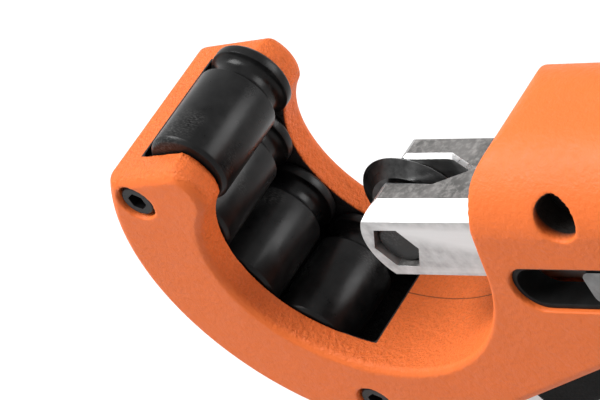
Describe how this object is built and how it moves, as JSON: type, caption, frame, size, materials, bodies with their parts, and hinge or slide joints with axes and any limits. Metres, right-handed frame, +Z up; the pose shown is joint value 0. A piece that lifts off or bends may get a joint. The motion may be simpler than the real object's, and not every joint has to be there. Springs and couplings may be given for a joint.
{
  "type": "pipe cutter",
  "caption": "Quick-adjust tube cutter: a cast C-frame with rollers, a sliding fork with a cutting wheel, a thumb release and a feed knob.",
  "frame": {"origin": "the axis of the pipe: the centre of the circle through the roller axes, on the mid-plane between the two shells", "axes": "+X along the slide towards the knob, +Y across the tool to the far side, +Z up through the open mouth"},
  "size_m": [0.2528, 0.044, 0.0852],
  "materials": {
    "orange_casting": "satin",
    "black_oxide": "satin",
    "plated_steel": "satin",
    "ground_steel": "ground",
    "dark_steel": "black oxide",
    "bronze": "plain",
    "black_plastic": "matte",
    "black_rubber": "matte"
  },
  "bodies": {
    "frame": {"frame_near_half": "orange_casting", "frame_far_half": "orange_casting", "frame_screws": "dark_steel", "roller_pins": "ground_steel", "slot_liner": "black_plastic", "rear_bush": "bronze", "thrust_washers": "ground_steel", "grip_pad": "black_rubber"},
    "roller_1": {"roller_1": "black_oxide"},
    "roller_2": {"roller_2": "black_oxide"},
    "roller_3": {"roller_3": "black_oxide"},
    "roller_4": {"roller_4": "black_oxide"},
    "slide": {"slide": "plated_steel", "wheel_bolt": "dark_steel", "wheel_nut": "ground_steel", "lever_pin": "ground_steel", "lever_spring": "ground_steel"},
    "wheel": {"cutter_wheel": "ground_steel", "wheel_bush": "bronze"},
    "lever": {"release_lever": "plated_steel"},
    "screw": {"feed_screw": "dark_steel", "knob": "black_plastic", "knob_screw": "dark_steel"}
  },
  "joints": [
    {"name": "roller_1_spin", "type": "hinge", "parent": "frame", "child": "roller_1", "pos_m": [-0.0218, 0, 0.02621], "axis": [0, 1, 0], "continuous": true},
    {"name": "roller_2_spin", "type": "hinge", "parent": "frame", "child": "roller_2", "pos_m": [-0.03265, 0, 0.00983], "axis": [0, 1, 0], "continuous": true},
    {"name": "roller_3_spin", "type": "hinge", "parent": "frame", "child": "roller_3", "pos_m": [-0.03265, 0, -0.00983], "axis": [0, 1, 0], "continuous": true},
    {"name": "roller_4_spin", "type": "hinge", "parent": "frame", "child": "roller_4", "pos_m": [-0.0218, 0, -0.02621], "axis": [0, 1, 0], "continuous": true},
    {"name": "knob_turn", "type": "hinge", "parent": "frame", "child": "screw", "pos_m": [0.18, 0, 0], "axis": [1, 0, 0], "range_deg": [-2700, 5040]},
    {"name": "slide_feed", "type": "slide", "parent": "frame", "child": "slide", "axis": [1, 0, 0], "range_m": [-0.015, 0.028]},
    {"name": "wheel_spin", "type": "hinge", "parent": "slide", "child": "wheel", "pos_m": [0.0199, 0, 0], "axis": [0, 1, 0], "continuous": true},
    {"name": "lever_press", "type": "hinge", "parent": "slide", "child": "lever", "pos_m": [0.0979, -0.0097, 0], "axis": [0, 0, -1], "range_deg": [0, 7], "stiffness_Nm_per_rad": 0.4, "springref_deg": -5.73, "deforming": ["lever_spring"]}
  ],
  "couplings": [
    {"joint": "knob_turn", "follows": "slide_feed", "rad_per_m": 3141.6}
  ]
}
